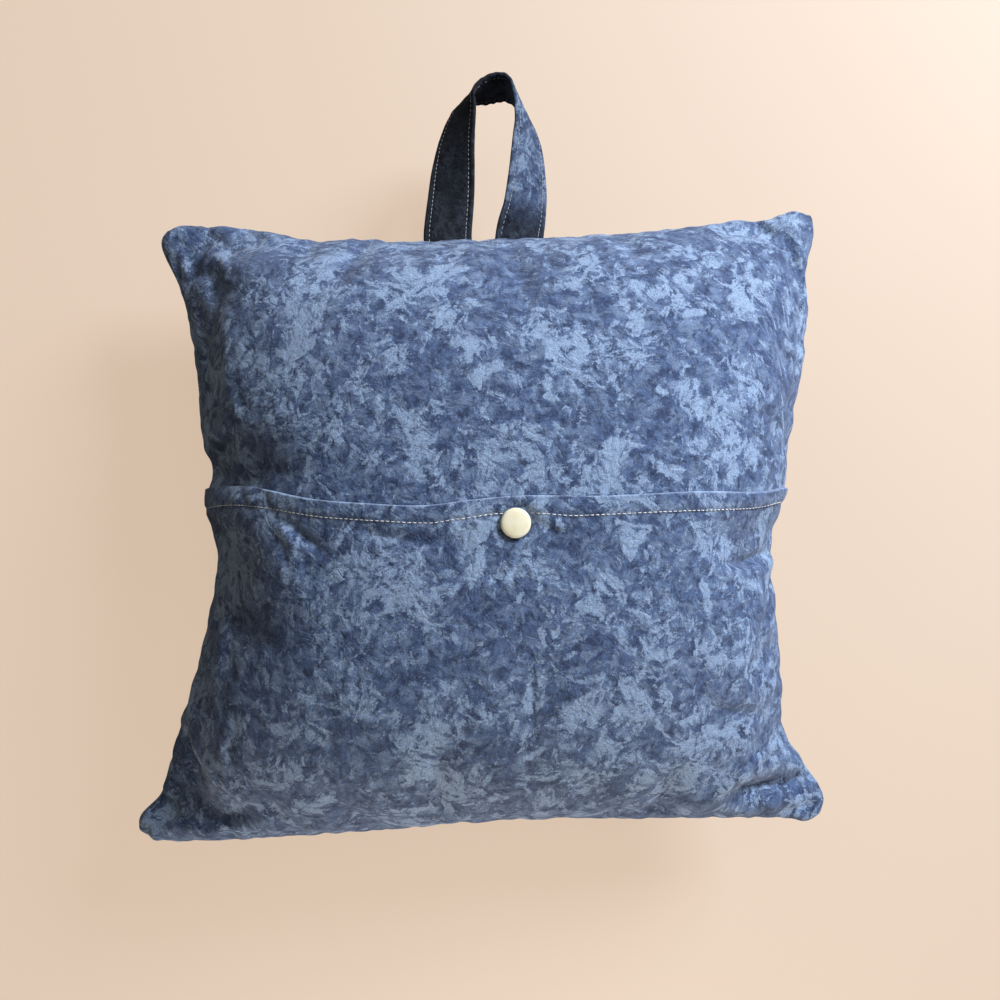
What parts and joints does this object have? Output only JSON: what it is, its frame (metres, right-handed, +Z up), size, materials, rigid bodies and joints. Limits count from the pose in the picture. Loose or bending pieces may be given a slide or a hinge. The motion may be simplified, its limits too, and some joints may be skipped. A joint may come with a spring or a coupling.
{
  "type": "book pillow",
  "caption": "Filled square cushion with a snapped pocket over the lower half of its face and a twisted carry loop on its top seam, lying on its back.",
  "frame": {"origin": "centre of the flat face on which the pillow lies", "axes": "+Z up out of the pocket side, +Y towards the carry loop, +X to the right seen from above with the loop away from the viewer"},
  "size_m": [0.4017, 0.459, 0.1429],
  "materials": {
    "cushion_cloth": "plain-weave cotton with a mottled two-tone blue print",
    "pocket_cloth": "the same mottled cotton, folded double along its stitched hem",
    "handle_cloth": "the same mottled cotton, folded into a strap with two rows of stitching",
    "snap_plastic": "smooth cream cap with a soft shine"
  },
  "bodies": {
    "root": {"cushion": "cushion_cloth", "pocket_panel": "pocket_cloth", "handle_strap": "handle_cloth", "snap_cap": "snap_plastic"}
  },
  "joints": []
}
